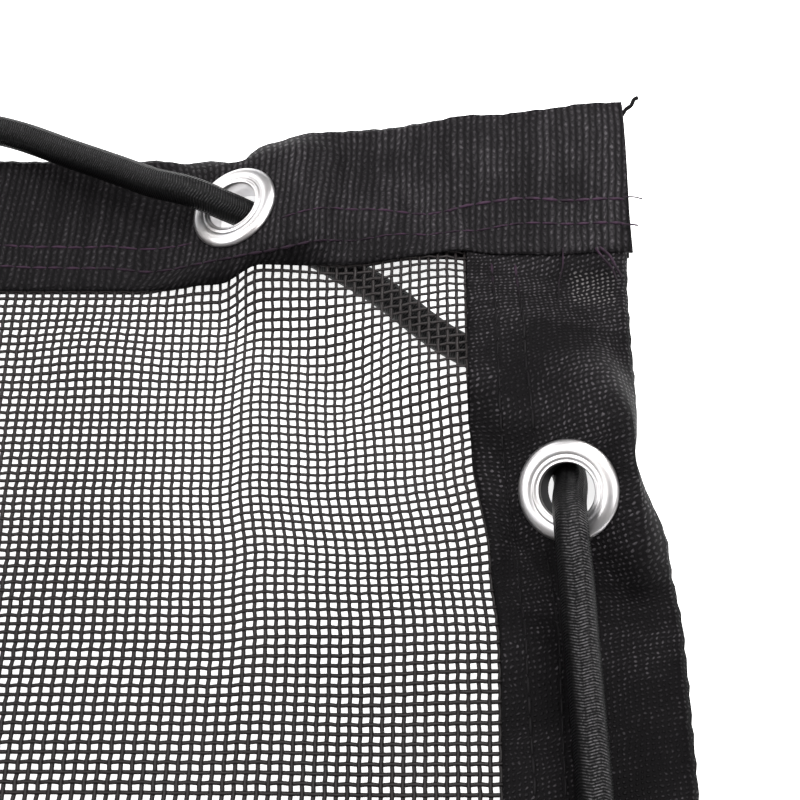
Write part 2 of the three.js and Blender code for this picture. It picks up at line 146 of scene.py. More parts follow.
# The cord's route from knot to knot: two eyelets, the side of the net, and the points between.
# A point without a height lies on the table, behind the net.
stretches = [
    ("bottom_middle", "bottom_left", "back", [
        (-0.034, -0.131), (-0.058, -0.133), (-0.082, -0.134), (-0.106, -0.1335), (-0.128, -0.132)]),
    ("bottom_left", "left_lower", "front", [
        (-0.171, -0.121, 0.0102), (-0.184, -0.111, 0.0082), (-0.195, -0.098, 0.010)]),
    ("left_lower", "left_upper", "back", [
        (-0.208, -0.050), (-0.210, -0.026), (-0.211, 0), (-0.210, 0.026), (-0.208, 0.050)]),
    ("left_upper", "top_left", "front", [
        (-0.197, 0.097, 0.010), (-0.186, 0.110, 0.0082), (-0.172, 0.121, 0.0102)]),
    ("top_left", "top_middle", "back", [
        (-0.128, 0.131), (-0.104, 0.1315), (-0.076, 0.132), (-0.048, 0.1315), (-0.023, 0.1305)]),
    ("top_middle", "top_right", "front", [
        (0.019, 0.1385, 0.0114), (0.034, 0.1446, 0.0090), (0.056, 0.1496, 0.0072),
        (0.080, 0.1512, 0.0068), (0.1045, 0.148, 0.0073), (0.1198, 0.1411, 0.0087),
        (0.130, 0.1359, 0.0103), (0.137, 0.132, 0.0117)]),
    ("top_right", "right_upper", "back", [
        (0.171, 0.1193), (0.1781, 0.1144), (0.1898, 0.1041), (0.1965, 0.100), (0.202, 0.097),
        (0.206, 0.0926)]),
    ("right_upper", "right_lower", "front", [
        (0.2098, 0.057, 0.012), (0.2102, 0.0485, 0.0102), (0.2107, 0.039, 0.0083),
        (0.2112, 0.022, 0.0071), (0.2114, -0.006, 0.0069), (0.211, -0.034, 0.0074),
        (0.2085, -0.055, 0.0112)]),
    ("right_lower", "bottom_right", "back", [
        (0.198, -0.091), (0.189, -0.104), (0.177, -0.114), (0.166, -0.1205)]),
]


def on_route(place):
    """A point of the route, on the table where it has no height."""
    return Vector(place) if len(place) == 3 else Vector((*place, cord_low))


def level(vector):
    """The way that a vector runs, seen from above."""
    return Vector((vector.x, vector.y, 0)).normalized()


for eyelet in eyelets.values():
    flat_x, flat_y = eyelet["flat"]
    drawn_x, drawn_y = eyelet["drawn"]
    eyelet["middle"] = Vector((flat_x + drawn_x, flat_y + drawn_y, eyelet_lift))

for first, second, side, points in stretches:
    eyelets[first][side] = level(on_route(points[0]) - eyelets[first]["middle"])
    eyelets[second][side] = level(on_route(points[-1]) - eyelets[second]["middle"])

for eyelet in eyelets.values():
    onward = -eyelet["back"]
    eyelet.setdefault("front", onward)
    aimed = Matrix.Rotation(math.radians(eyelet["aim"]), 3, "Z")
    eyelet["way"] = aimed @ level(eyelet["front"] + onward)
    leaning = Matrix.Rotation(math.radians(eyelet["sway"]), 3, "Z") @ eyelet["way"]
    hinge = up.cross(leaning).normalized()
    eyelet["turn"] = Quaternion(hinge, math.radians(eyelet.get("lean", eyelet_lean)))
    eyelet["slope"] = eyelet["way"] * math.cos(cord_rise) + up * math.sin(cord_rise)


def bend(start, way, radius, part, sign):
    """A point on the bend that takes the cord from its slope in an eyelet to level."""
    rest = cord_rise * (1 - part)
    run = radius * (math.sin(cord_rise) - math.sin(rest))
    rise = radius * (math.cos(rest) - math.cos(cord_rise))
    return start + way * run + up * sign * rise


def through_eyelet(eyelet):
    """The cord's points at an eyelet, from its back stretch to its front one."""
    below = eyelet["middle"] - eyelet["slope"] * straight_half
    above = eyelet["middle"] + eyelet["slope"] * straight_half
    back_bend = (below.z - cord_low) / (1 - math.cos(cord_rise))
    return [
        bend(below, eyelet["back"], back_bend, 1, -1),
        bend(below, eyelet["back"], back_bend, 0.5, -1),
        below,
        above,
        bend(above, eyelet["front"], front_bend, 0.5, 1),
        bend(above, eyelet["front"], front_bend, 0.9, 1),
    ]


def end_at_eyelet(eyelet):
    """The cord's last points, up to the knot that stands on the eyelet."""
    stop = eyelet["middle"] + eyelet["slope"] * stop_height
    return [*through_eyelet(eyelet)[:3], stop]


route = end_at_eyelet(eyelets[stretches[0][0]])[::-1]
for first, second, side, points in stretches:
    route += [on_route(place) for place in points]
    if second == stretches[-1][1]:
        route += end_at_eyelet(eyelets[second])
    elif side == "front":
        route += through_eyelet(eyelets[second])[::-1]
    else:
        route += through_eyelet(eyelets[second])


def smooth_line(places, gap, smoothings=0):
    """Evenly spaced points on a smooth line through the places."""
    ends = [2 * places[0] - places[1], *places, 2 * places[-1] - places[-2]]
    fine = []
    parts = 24
    for a, b, c, d in zip(ends, ends[1:], ends[2:], ends[3:]):
        t1 = (b - a).length ** 0.5
        t2 = t1 + (c - b).length ** 0.5
        t3 = t2 + (d - c).length ** 0.5
        for step in range(parts):
            t = t1 + (t2 - t1) * step / parts
            ab = a.lerp(b, t / t1)
            bc = b.lerp(c, (t - t1) / (t2 - t1))
            cd = c.lerp(d, (t - t2) / (t3 - t2))
            abc = ab.lerp(bc, t / t2)
            bcd = bc.lerp(cd, (t - t1) / (t3 - t1))
            fine.append(abc.lerp(bcd, (t - t1) / (t2 - t1)))
    fine.append(places[-1])
    steps = [(b - a).length for a, b in zip(fine, fine[1:])]
    travelled = np.concatenate([[0], np.cumsum(steps)])
    count = round(travelled[-1] / gap)
    wanted = np.linspace(0, travelled[-1], count + 1)
    even = np.stack([np.interp(wanted, travelled, axis) for axis in zip(*fine)], axis=1)
    for _ in range(smoothings):
        even[1:-1] = (even[:-2] + 2 * even[1:-1] + even[2:]) / 4
    return [Vector(place) for place in even]


def length_of(places):
    """The length of a line through the places."""
    return sum((b - a).length for a, b in zip(places, places[1:]))


def curve_through(name, places, radius, sides):
    """An open curve with a round section."""
    curve = bpy.data.curves.new(name, "CURVE")
    curve.dimensions = "3D"
    curve.bevel_depth = radius
    curve.bevel_resolution = sides // 2 - 2
    curve.use_fill_caps = True
    spline = curve.splines.new("POLY")
    spline.points.add(len(places) - 1)
    for point, place in zip(spline.points, places):
        point.co = (*place, 1)
    made = bpy.data.objects.new(name, curve)
    bpy.context.collection.objects.link(made)
    return made


class Wire:
    """What comes out of one node of a material. Arithmetic on it adds Math nodes."""

    def __init__(self, tree, socket=None):
        self.tree = tree
        self.socket = socket

    def node(self, kind, settings=(), sockets=(), out=0):
        """Adds a node: its type, its settings, and the values or wires of its sockets."""
        made = self.tree.nodes.new("ShaderNode" + kind)
        for name, value in dict(settings).items():
            setattr(made, name, value)
        for name, value in dict(sockets).items():
            if isinstance(value, Wire):
                self.tree.links.new(value.socket, made.inputs[name])
            else:
                made.inputs[name].default_value = value
        return Wire(self.tree, made.outputs[out])

    def math(self, operation, *values):
        return self.node("Math", {"operation": operation}, dict(enumerate(values)))

    def __add__(self, other):
        return self.math("ADD", self, other)

    __radd__ = __add__

    def __sub__(self, other):
        return self.math("SUBTRACT", self, other)

    def __rsub__(self, other):
        return self.math("SUBTRACT", other, self)

    def __mul__(self, other):
        return self.math("MULTIPLY", self, other)

    __rmul__ = __mul__

    def __pow__(self, other):
        return self.math("POWER", self, other)

    def __abs__(self):
        return self.math("ABSOLUTE", self)

    def sine(self):
        return self.math("SINE", self)

    def fraction(self):
        return self.math("FRACT", self)

    def smooth(self, start, end):
        """From 0 at start to 1 at end, smoothly."""
        settings = {"interpolation_type": "SMOOTHSTEP"}
        return self.node("MapRange", settings, {"Value": self, "From Min": start, "From Max": end})


def new_finish(name):
    """A material, an empty wire in it, and its main shader."""
    finish = bpy.data.materials.new(name)
    finish.use_nodes = True
    tree = finish.node_tree
    return finish, Wire(tree), tree.nodes["Principled BSDF"]


def drive(shader, name, wire):
    """Leads a wire to one socket of the main shader."""
    wire.tree.links.new(wire.socket, shader.inputs[name])


def blend_colors(wire, share, first, second):
    """A colour between two, by a wire's share. Sockets 6 and 7 take the colours."""
    sockets = {"Factor": share, 6: first, 7: second}
    return wire.node("Mix", {"data_type": "RGBA"}, sockets, out=2)


def add_relief(wire, shader, height, distance):
    """Bump from a height of 0 to 1."""
    sockets = {"Height": height, "Distance": distance, "Strength": 1.0}
    drive(shader, "Normal", wire.node("Bump", (), sockets))


def part_of(place, axis):
    """One coordinate of a place: X, Y or Z."""
    return place.node("SeparateXYZ", (), {0: place}, out=axis)


def noise(place, scale, detail, out=0):
    """Noise of about 0 to 1: one value, or three as a colour."""
    sockets = {"Vector": place, "Scale": float(scale), "Detail": float(detail)}
    return place.node("TexNoise", (), sockets, out=out)


def braided_finish():
    """A herringbone braid on a map in metres along the cord and once round it.

    It is painted paler on its upper side and along the net's right edge, as a painted highlight.
    """
    finish, wire, shader = new_finish("braided_elastic")
    place = wire.node("UVMap", {"uv_map": "braid"})
    run = part_of(place, "X")
    around = part_of(place, "Y")
    solid = wire.node("TexCoord", out="Object")
    uneven = noise(solid, 420, 2)
    fray = noise(solid, 2600, 2)
    column = abs((around * braid_columns).fraction() - 0.5) * 2
    rib = (run * (1 / braid_pitch) + column * 0.9 + uneven * 0.7) * (2 * math.pi)
    crest = rib.sine() * 0.5 + 0.5
    channel = abs((around * (2 * braid_columns)).fraction() - 0.5) * 2
    height = crest * (1 - channel ** 5 * 0.4)
    # Painted highlight: the braid is painted paler along the net's right edge.
    wear_and_highlight = part_of(solid, "X").smooth(*right_highlight_rise)
    # Painted highlight: the braid is painted paler on its side that faces up.
    facing = {0: wire.node("TexCoord", out="Normal"), 1: highlight_side}
    upper_side_highlight = wire.node("VectorMath", {"operation": "DOT_PRODUCT"}, facing, out="Value")
    shine = (0.1 + 1.1 * upper_side_highlight.smooth(0.5, 1.0)) * (0.3 + 0.9 * wear_and_highlight)
    dark = (0.0018, 0.0018, 0.002, 1)
    light = (0.11, 0.105, 0.11, 1)
    share = height ** 2 * (0.1 + fray.smooth(0.35, 0.7)) * shine
    drive(shader, "Base Color", blend_colors(wire, share, dark, light))
    shader.inputs["Roughness"].default_value = 0.4
    shader.inputs["Specular IOR Level"].default_value = 0.13
    add_relief(wire, shader, height, 0.00012)
    return finish


def finish_mesh(piece, name):
    """The evaluated mesh of a piece, as a new object that replaces it."""
    graph = bpy.context.evaluated_depsgraph_get()
    mesh = bpy.data.meshes.new_from_object(piece.evaluated_get(graph))
    mesh.name = name
    bpy.data.objects.remove(piece)
    made = bpy.data.objects.new(name, mesh)
    bpy.context.collection.objects.link(made)
    return made


def braided_tube(name, places, radius, sides, finish):
    """A tube along the places, with the braid's map on it in metres."""
    curve = curve_through(name + "_line", places, radius, sides)
    tube = finish_mesh(curve, name)
    braid = tube.data.uv_layers[0]
    braid.name = "braid"
    length = length_of(places)
    for corner in braid.data:
        corner.uv = (corner.uv.x * length, corner.uv.y)
    tube.data.shade_smooth()
    tube.data.materials.clear()
    tube.data.materials.append(finish)
    return tube


elastic = braided_finish()
cord_line = smooth_line(route, cord_step, cord_smoothings)
cord = braided_tube("cord_braided", cord_line, cord_radius, cord_sides, elastic)


# ---- stopper knots ----
# Each end of the cord is tied in an overhand knot in front of its eyelet, with a short heat-sealed
# end, so that it can't slip back through.

knot_radius = 0.0025
knot_turn = 0.00175
knot_height = 0.0114
knot_depth = 1.35
knot_start = 0.06
knot_span = 1.9
knot_parts = 14
knot_step = 0.0008


def tie_knot(eyelet):
    """The line of an overhand knot that stands on the end of the cord."""
    line = []
    for step in range(knot_parts + 1):
        t = math.pi * (knot_start + knot_span * step / knot_parts)
        line.append(Vector((
            knot_turn * (math.sin(t) + 2 * math.sin(2 * t)),
            knot_turn * (math.cos(t) - 2 * math.cos(2 * t)),
            -knot_depth * knot_turn * math.sin(3 * t),
        )))
    turn = up.rotation_difference(eyelet["slope"])
    middle = eyelet["middle"] + eyelet["slope"] * knot_height
    return [middle + turn @ place for place in line]


for name in ("bottom_middle", "bottom_right"):
    knot_line = smooth_line(tie_knot(eyelets[name]), knot_step)
    knot = braided_tube("knot_braided_" + name, knot_line, knot_radius, cord_sides, elastic)
    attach(knot, "root")
    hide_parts("knot_" + name)

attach(cord, "root")
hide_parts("cord")


# ---- open mesh ----
# The panel is woven of coated polyester yarn, one over and one under, and heat-set so that its
# square holes keep their shape. Its lie gives every other piece its place.

half_length = 0.225
half_width = 0.150
binding_width = 0.030
inner_length = half_length - binding_width
inner_width = half_width - binding_width
mesh_half = 0.0004
mesh_room = 0.0001
hem_half = 0.0012
hem_slope = 0.024
corner_lap = 0.0010
lap_ramp = 0.008
flat_reach = 0.0096
blend_along = 0.024
blend_across = 0.016
cover_rise = 0.0064
cover_flat = 0.006
cover_reach = 0.021
edge_fall = 0.8
edge_fall_end = -0.001
mesh_inset = 0.006
nip_depth = 0.0026
nip_reach = 0.015
nip_shift = 0.004
nip_rise = (-0.012, -0.002)
pucker_height = 0.00028
pucker_rise = (0.0096, 0.015)
pucker_fall = (0.017, 0.032)
wave_height = 0.00012
wave_blend = 0.004

# Where along the net a change starts and ends.
side_drift = (0.070, 0.190)
end_drift = (0.010, 0.112)
curl_rise = (0.112, 0.150)
fold_at_top = (0.139, 0.149)
fold_at_right = (0.214, 0.224)

# Short dents in the bindings' folds: the middle along the edge, the depth and half the length.
top_dent = (0.1503, 0.0026, 0.0026)
top_bulge = (0.1446, 0.0015, 0.006)
right_dent = (0.0795, 0.0009, 0.0028)

# How far each edge lies outside its straight line, at places along it.
drift_top = [
    (-0.226, 0.0), (-0.15, -0.003), (0.0, -0.004), (0.075, -0.005), (0.15, -0.0049),
    (0.157, -0.0026), (0.172, -0.0036), (0.196, -0.0006), (0.226, 0.0013),
]
drift_bottom = [
    (-0.226, 0.001), (-0.15, -0.003), (-0.075, -0.001), (0.0, -0.0035), (0.075, 0.0015),
    (0.15, -0.003), (0.226, 0.0005),
]
drift_right = [
    (-0.15, 0.0), (-0.075, -0.003), (0.0, 0.0025), (0.048, 0.003), (0.062, 0.0021),
    (0.08, -0.0003), (0.096, -0.0011), (0.15, -0.0007),
]
drift_left = [
    (-0.15, 0.0), (-0.075, -0.003), (0.005, 0.002), (0.075, -0.003), (0.15, 0.0005),
]
corner_curl = [
    (0.15, 0.0), (0.156, 0.0044), (0.172, 0.0078), (0.192, 0.0076), (0.226, 0.0094),
]

# Soft folds: the middle, half the length and width, the turn in degrees, and the height.
folds = [
    (0.126, 0.02, 0.09, 0.07, 0, 0.005),
    (0.182, 0.049, 0.038, 0.015, -16, 0.0034),
    (0.127, 0.101, 0.016, 0.01, -20, 0.0018),
    (0.178, 0.086, 0.026, 0.009, 70, 0.0016),
    (0.214, 0.116, 0.02, 0.016, 0, 0.0013),
    (0.04, 0.07, 0.06, 0.026, 24, 0.005),
    (-0.06, 0.028, 0.09, 0.034, 12, 0.007),
    (-0.15, -0.022, 0.052, 0.03, -35, 0.006),
    (-0.02, -0.062, 0.084, 0.03, -14, 0.006),
    (0.112, -0.072, 0.054, 0.024, 32, 0.005),
]


def ramp(value, start, end):
    """From 0 at start to 1 at end, smoothly."""
    t = np.clip((value - start) / (end - start), 0, 1)
    return t * t * (3 - 2 * t)


def along(table, place):
    """A smooth change from one row of a table to the next."""
    result = np.full_like(place, table[0][1])
    for (start, first), (end, second) in zip(table, table[1:]):
        share = ramp(place, start, end)
        result = np.where(place > start, first + (second - first) * share, result)
    return result


def half_thickness(u, v):
    """Half the net's thickness, from the mesh alone to the lapped corners."""
    along_lap = ramp(abs(u), inner_length - lap_ramp, inner_length)
    across_lap = ramp(abs(v), inner_width - lap_ramp, inner_width)
    inside = np.minimum(inner_length - abs(u), inner_width - abs(v))
    hem = hem_half + corner_lap * along_lap * across_lap
    return hem + (mesh_half + mesh_room - hem) * ramp(inside, 0, hem_slope)


def distance_to_cord(first, second, points, x, y):
    """How far places lie from a stretch of the cord, seen from above."""
    line = [eyelets[first]["middle"], *map(on_route, points), eyelets[second]["middle"]]
    least = np.full_like(x, 1.0)
    for a, b in zip(line, line[1:]):
        run_x, run_y = b.x - a.x, b.y - a.y
        share = ((x - a.x) * run_x + (y - a.y) * run_y) / (run_x ** 2 + run_y ** 2)
        share = np.clip(share, 0, 1)
        least = np.minimum(least, np.hypot(x - a.x - share * run_x, y - a.y - share * run_y))
    return least


def lift(x, y, outward):
    """The cloth's height above its lowest: the cord behind it, its folds, the raised corner."""
    kept = 1 - edge_fall * ramp(outward, -mesh_inset, edge_fall_end)
    cover = np.zeros_like(x)
    for first, second, side, points in stretches:
        if side == "back":
            distance = distance_to_cord(first, second, points, x, y)
            over = kept * cover_rise * (1 - ramp(distance, cover_flat, cover_reach))
            cover = np.maximum(cover, over)
    soft = np.zeros_like(x)
    for fold_x, fold_y, fold_along, fold_across, turn, rise in folds:
        cosine, sine = math.cos(math.radians(turn)), math.sin(math.radians(turn))
        a = (x - fold_x) * cosine + (y - fold_y) * sine
        b = (y - fold_y) * cosine - (x - fold_x) * sine
        spread = (a / fold_along) ** 2 + (b / fold_across) ** 2
        soft += np.where(spread < 1, rise * (1 - spread) ** 2, 0)
    return cover + soft + along(corner_curl, x) * ramp(y, *curl_rise)


def is_on_long_edge(eyelet):
    """Whether an eyelet is in the top or the bottom binding."""
    return abs(eyelet["flat"][1]) > inner_width


def nip(beside, outward):
    """How far the edge is drawn in beside an eyelet."""
    return nip_depth * (1 - ramp(abs(beside), 0, nip_reach)) * ramp(outward, *nip_rise)


def notch(place, middle, depth, reach):
    """A short dent in the fold of the binding."""
    return depth * (1 - ramp(abs(place - middle), 0, reach))


def puckers(u, v):
    """Small wrinkles that fan out from the eyelets."""
    rise = np.zeros_like(u)
    for number, eyelet in enumerate(eyelets.values()):
        du, dv = u - eyelet["flat"][0], v - eyelet["flat"][1]
        reach = np.hypot(du, dv)
        turn = np.arctan2(dv, du)
        fan = np.sin(7 * turn + 1.7 * number) + 0.6 * np.sin(12 * turn + 2.3 * number)
        rise += pucker_height * fan * ramp(reach, *pucker_rise) * (1 - ramp(reach, *pucker_fall))
    return rise


def waves(u, v):
    """The slight unevenness of the binding along its run."""
    on_long = ramp(abs(v), inner_width - wave_blend, inner_width + wave_blend)
    on_side = ramp(abs(u), inner_length - wave_blend, inner_length + wave_blend)
    on_short = on_side * (1 - on_long)
    long_wave = np.sin(u * 610 + v * 90) + 0.8 * np.sin(u * 271 - v * 140 + 1)
    short_wave = np.sin(v * 560 + u * 160) + 0.8 * np.sin(v * 238 - u * 190 + 2)
    return wave_height * (on_long * long_wave + on_short * short_wave)


def surface(u, v):
    """The middle of the cloth at places (u, v) of the flat net."""
    side = ramp(abs(u), *side_drift)
    end = ramp(abs(v), *end_drift)
    x = u + side * np.sign(u) * np.where(u > 0, along(drift_right, v), along(drift_left, v))
    y = v + end * np.sign(v) * np.where(v > 0, along(drift_top, u), along(drift_bottom, u))
    for eyelet in eyelets.values():
        eyelet_u, eyelet_v = eyelet["flat"]
        if is_on_long_edge(eyelet):
            y = y - np.sign(v) * nip(u - eyelet_u, np.sign(eyelet_v) * v - half_width)
        else:
            beside = v - eyelet_v - nip_shift
            x = x - np.sign(u) * nip(beside, np.sign(eyelet_u) * u - half_length)
    y = y - ramp(v, *fold_at_top) * (notch(u, *top_dent) - notch(u, *top_bulge))
    x = x - ramp(u, *fold_at_right) * notch(v, *right_dent)
    lowest = half_thickness(u, v)
    outward = np.maximum(abs(u) - half_length, abs(v) - half_width)
    height = lowest + lift(x, y, outward) + puckers(u, v) + waves(u, v)
    place = np.stack([x, y, height], axis=1)
    for eyelet in eyelets.values():
        du, dv = u - eyelet["flat"][0], v - eyelet["flat"][1]
        on_long_edge = is_on_long_edge(eyelet)
        reach_u = blend_along if on_long_edge else blend_across
        reach_v = blend_across if on_long_edge else blend_along
        near = (1 - ramp(abs(du), flat_reach, reach_u)) * (1 - ramp(abs(dv), flat_reach, reach_v))
        turn = np.array(eyelet["turn"].to_matrix())
        flat = np.outer(du, turn[:, 0]) + np.outer(dv, turn[:, 1]) + np.array(eyelet["middle"])
        place += (flat - place) * near[:, None]
    place[:, 2] = np.maximum(place[:, 2], lowest)
    return place


def drape(places):
    """Moves places (u, v, height) of the flat net to where they lie."""
    u, v, height = places.T
    step = 0.0005
    along_u = surface(u + step, v) - surface(u - step, v)
    along_v = surface(u, v + step) - surface(u, v - step)
    normal = np.cross(along_u, along_v)
    normal /= np.linalg.norm(normal, axis=1)[:, None]
    return surface(u, v) + normal * height[:, None]


def drape_mesh(mesh, to_flat=None):
    """Moves a mesh from the flat net to where the net lies."""
    places = np.empty(3 * len(mesh.vertices))
    mesh.vertices.foreach_get("co", places)
    places = places.reshape(-1, 3)
    if to_flat:
        places = to_flat(places)
    mesh.vertices.foreach_set("co", drape(places).ravel())
    mesh.update()


pitch_u = 0.00168
pitch_v = 0.00158
yarn_wave = 0.00015
yarn_half_width = 0.00034
yarn_half_depth = 0.00018
yarn_sway = 0.00005
yarn_swell = 1.04
yarn_slack = 0.17
slack_rise = (0.02, 0.1)
yarn_spread = 0.16
spread_run = (0.122, 0.152)
spread_rise = (0.04, 0.065)
cells_u = 118
cells_v = 78


def yarn_pair(pitch, phase, sideways):
    """Two cells of one yarn, over one crossing and under the next, running along X or Y."""
    yarn = bmesh.new()
    ring = bmesh.ops.create_circle(yarn, segments=4, radius=1)["verts"]
    bmesh.ops.scale(yarn, vec=(yarn_half_depth, yarn_half_width, 1), verts=ring)
    bmesh.ops.rotate(yarn, matrix=Matrix.Rotation(math.radians(90), 3, "Y"), verts=ring)
    bmesh.ops.translate(yarn, vec=(0, yarn_sway, phase * yarn_wave), verts=ring)
    edges = yarn.edges[:]
    for sign in (-1, 1):
        made = bmesh.ops.extrude_edge_only(yarn, edges=edges)["geom"]
        ring = [item for item in made if isinstance(item, bmesh.types.BMVert)]
        edges = [item for item in made if isinstance(item, bmesh.types.BMEdge)]
        step = (pitch, sign * 2 * yarn_sway, sign * 2 * phase * yarn_wave)
        bmesh.ops.translate(yarn, vec=step, verts=ring)
    if sideways:
        right_angle = Matrix.Rotation(math.radians(90), 3, "Z")
        bmesh.ops.rotate(yarn, matrix=right_angle, verts=yarn.verts[:])
    return yarn


def repeat(piece, offset, count, merge):
    """Repeats a piece in one direction."""
    array = piece.modifiers.new("repeat", "ARRAY")
    array.use_relative_offset = False
    array.use_constant_offset = True
    array.constant_offset_displace = offset
    array.count = count
    array.use_merge_vertices = merge
    array.merge_threshold = 0.00001


def yarns(name, sideways):
    """All the yarns of one quarter of the panel that run in one direction."""
    pair = bmesh.new()
    for row, phase in ((0, 1), (1, -1)):
        phase = -phase if sideways else phase
        yarn = yarn_pair(pitch_v if sideways else pitch_u, phase, sideways)
        shift = (row * pitch_u, 0, 0) if sideways else (0, row * pitch_v, 0)
        bmesh.ops.translate(yarn, vec=shift, verts=yarn.verts[:])
        part = bpy.data.meshes.new(name)
        yarn.to_mesh(part)
        pair.from_mesh(part)
        bpy.data.meshes.remove(part)
    mesh = bpy.data.meshes.new(name)
    pair.to_mesh(mesh)
    piece = bpy.data.objects.new(name, mesh)
    bpy.context.collection.objects.link(piece)
    if sideways:
        repeat(piece, (0, 2 * pitch_v, 0), cells_v // 2, True)
        repeat(piece, (2 * pitch_u, 0, 0), cells_u // 2, False)
    else:
        repeat(piece, (2 * pitch_u, 0, 0), cells_u // 2, True)
        repeat(piece, (0, 2 * pitch_v, 0), cells_v // 2, False)
    return finish_mesh(piece, name)


def coated_yarn_finish():
    """Nearly black coated yarn, a little paler towards the top binding."""
    finish, wire, shader = new_finish("coated_yarn")
    place = wire.node("TexCoord", out="Object")
    patches = noise(place, 22, 2)
    grain = noise(place, 1500, 2)
    dark = (0.0065, 0.0052, 0.0055, 1)
    light = (0.032, 0.027, 0.027, 1)
    to_top = part_of(place, "Y")
    share = patches.smooth(0.35, 0.7) * 0.3 + grain * 0.4 + to_top.smooth(0.03, 0.1) * 0.4
    drive(shader, "Base Color", blend_colors(wire, share, dark, light))
    drive(shader, "Roughness", 0.34 + grain * 0.2)
    shader.inputs["Specular IOR Level"].default_value = 0.2
    add_relief(wire, shader, grain, 0.00006)
    return finish


def vary_width(places):
    """Makes the yarns a little thinner towards the top, except left of the upper right corner."""
    wider = (1 - ramp(places[:, 0], *spread_run)) * ramp(places[:, 1], *spread_rise)
    share = yarn_swell - yarn_slack * ramp(places[:, 1], *slack_rise) + yarn_spread * wider
    weft_part, warp_part = slice(0, weft_count), slice(weft_count, None)
    for axis, pitch, part in ((1, pitch_v, weft_part), (0, pitch_u, warp_part)):
        line = np.round(places[part, axis] / pitch) * pitch
        places[part, axis] = line + (places[part, axis] - line) * share[part]
    return places


coated_yarn = coated_yarn_finish()
weft = yarns("weft", False)
warp = yarns("warp", True)
weft_count = len(weft.data.vertices)
quarter_mesh = bmesh.new()
quarter_mesh.from_mesh(weft.data)
quarter_mesh.from_mesh(warp.data)
open_edges = [edge for edge in quarter_mesh.edges if edge.is_boundary]
bmesh.ops.holes_fill(quarter_mesh, edges=open_edges, sides=4)
bmesh.ops.recalc_face_normals(quarter_mesh, faces=quarter_mesh.faces[:])
bpy.data.objects.remove(weft)
bpy.data.objects.remove(warp)

for name, shift_u, shift_v in (
    ("upper_right", 0, 0), ("upper_left", -1, 0), ("lower_left", -1, -1), ("lower_right", 0, -1),
):
    mesh = bpy.data.meshes.new("mesh_" + name)
    quarter_mesh.to_mesh(mesh)
    mesh.transform(Matrix.Translation((shift_u * cells_u * pitch_u, shift_v * cells_v * pitch_v, 0)))
    drape_mesh(mesh, vary_width)
    mesh.shade_smooth()
    mesh.materials.append(coated_yarn)
    quarter = bpy.data.objects.new("mesh_" + name, mesh)
    bpy.context.collection.objects.link(quarter)
    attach(quarter, "root")
    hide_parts("mesh_panel")


# ---- binding ----
# Four strips of woven tape, each folded in half over the mesh's edge. The top and bottom strips
# lap over the ends of the side strips.

tape_half_width = 0.0304
tape_thickness = 0.0005
tape_cell = 0.00075
tape_cells_across = 42
layer_height = 0.0007
lap_height = 0.00055
long_overhang = 0.001
short_reach = half_width - mesh_inset
hole_reach = 0.0062
edge_bump = 0.00013
edge_bump_turns = 2600
edge_bump_fade = (0.0005, 0.0025)
end_slant = 0.001
slant_start = 0.150
gather_depth = 0.0014
gather_start = (0.186, 0.197)
gather_end = (0.203, 0.214)

# A patch near the upper right corner is woven more loosely, so that pale yarns show in it. For X
# and Y of the net: where it starts, where it is full, and where it starts to end and ends.
loose_x = (0.2125, 0.2145, 0.2205, 0.2225)
loose_y = (0.1105, 0.1120, 0.1165, 0.1180)


def within(value, start, full, falling, end):
    """From 0 to 1 and back to 0."""
    return value.smooth(start, full) * (1 - value.smooth(falling, end))


